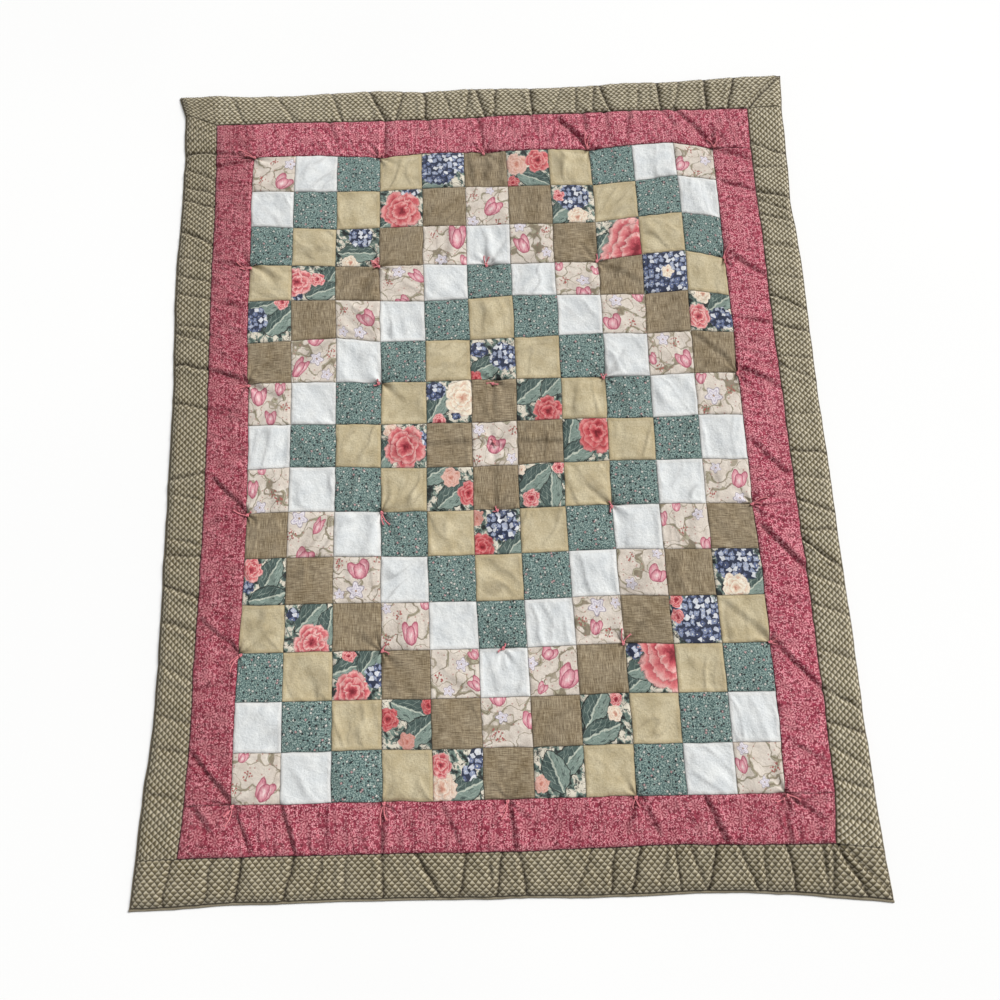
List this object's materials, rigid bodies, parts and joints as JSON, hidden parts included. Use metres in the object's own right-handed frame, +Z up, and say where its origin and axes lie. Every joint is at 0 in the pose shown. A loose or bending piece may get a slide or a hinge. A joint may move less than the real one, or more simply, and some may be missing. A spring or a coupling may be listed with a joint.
{
  "type": "patchwork quilt",
  "caption": "Tied lap quilt lying flat: a centre of small print and plain squares in concentric diamond rings, a rose inner border and an olive outer border.",
  "frame": {"origin": "under the middle of the quilt, on the floor it lies on", "axes": "+Z up; +Y along the quilt towards its head end; +X to the right when seen from above with the head end away"},
  "size_m": [1.326, 1.662, 0.0117],
  "materials": {
    "patchwork": "quilting cottons: tulip print, brown slub, dark floral, straw yellow, teal calico and white",
    "rose_print": "matt cotton, dense small vine print in dusty rose",
    "olive_check": "matt cotton, small scale check in tan on olive",
    "backing": "plain greyish beige cotton",
    "floss": "six-strand cotton floss, slight sheen"
  },
  "bodies": {
    "root": {"backing": "backing", "patchwork_centre": "patchwork", "rose_strip_top": "rose_print", "rose_strip_bottom": "rose_print", "rose_strip_left": "rose_print", "rose_strip_right": "rose_print", "olive_strip_top": "olive_check", "olive_strip_bottom": "olive_check", "olive_strip_left": "olive_check", "olive_strip_right": "olive_check", "tie_01": "floss", "tie_02": "floss", "tie_03": "floss", "tie_04": "floss", "tie_05": "floss", "tie_06": "floss", "tie_07": "floss", "tie_08": "floss", "tie_09": "floss", "tie_10": "floss", "tie_11": "floss", "tie_12": "floss", "tie_13": "floss", "tie_14": "floss", "tie_15": "floss", "tie_16": "floss", "tie_17": "floss", "tie_18": "floss", "tie_19": "floss", "tie_20": "floss", "tie_21": "floss", "tie_22": "floss", "tie_23": "floss", "tie_24": "floss", "tie_25": "floss", "tie_26": "floss", "tie_27": "floss", "tie_28": "floss", "tie_29": "floss", "tie_30": "floss", "tie_31": "floss"}
  },
  "joints": []
}
